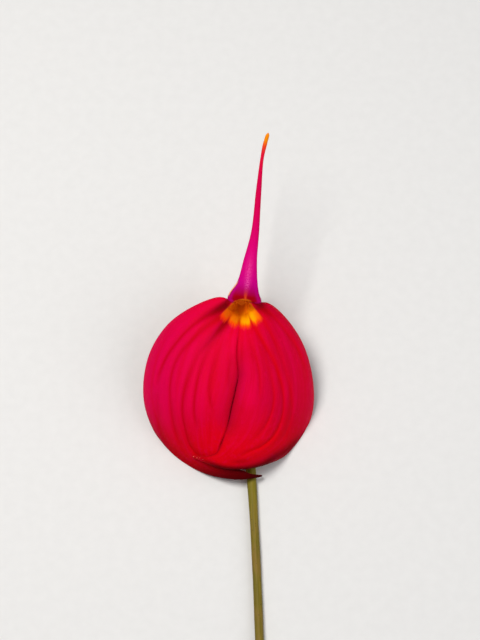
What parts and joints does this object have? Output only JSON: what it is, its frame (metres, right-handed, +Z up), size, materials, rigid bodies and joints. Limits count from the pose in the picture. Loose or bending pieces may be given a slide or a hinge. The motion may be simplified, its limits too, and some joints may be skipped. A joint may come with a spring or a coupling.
{
  "type": "masdevallia orchid flower",
  "caption": "Picked orchid flower lying on its back: bent tube, two broad fused lateral sepals, dorsal sepal with a long tail, small inner organs, ribbed ovary and a cut stalk with sheaths",
  "frame": {"origin": "on the surface, under the middle of the bounding box", "axes": "+Z up from the surface; the flower's tail points along +Y and the cut end of the stalk along -Y; +X is the right side of the flower's face"},
  "size_m": [0.05, 0.1996, 0.0406],
  "materials": {
    "sepals": "satin",
    "inner_organs": "satin",
    "lip": "satin",
    "ovary": "satin",
    "pedicel": "satin",
    "bract": "matte",
    "scape": "satin",
    "sheath": "matte"
  },
  "bodies": {
    "root": {"sepals": "sepals", "petal_left": "inner_organs", "petal_right": "inner_organs", "lip": "lip", "column": "inner_organs", "anther_cap": "inner_organs", "ovary": "ovary", "pedicel": "pedicel", "floral_bract": "bract", "scape": "scape", "scape_sheath": "sheath"}
  },
  "joints": []
}
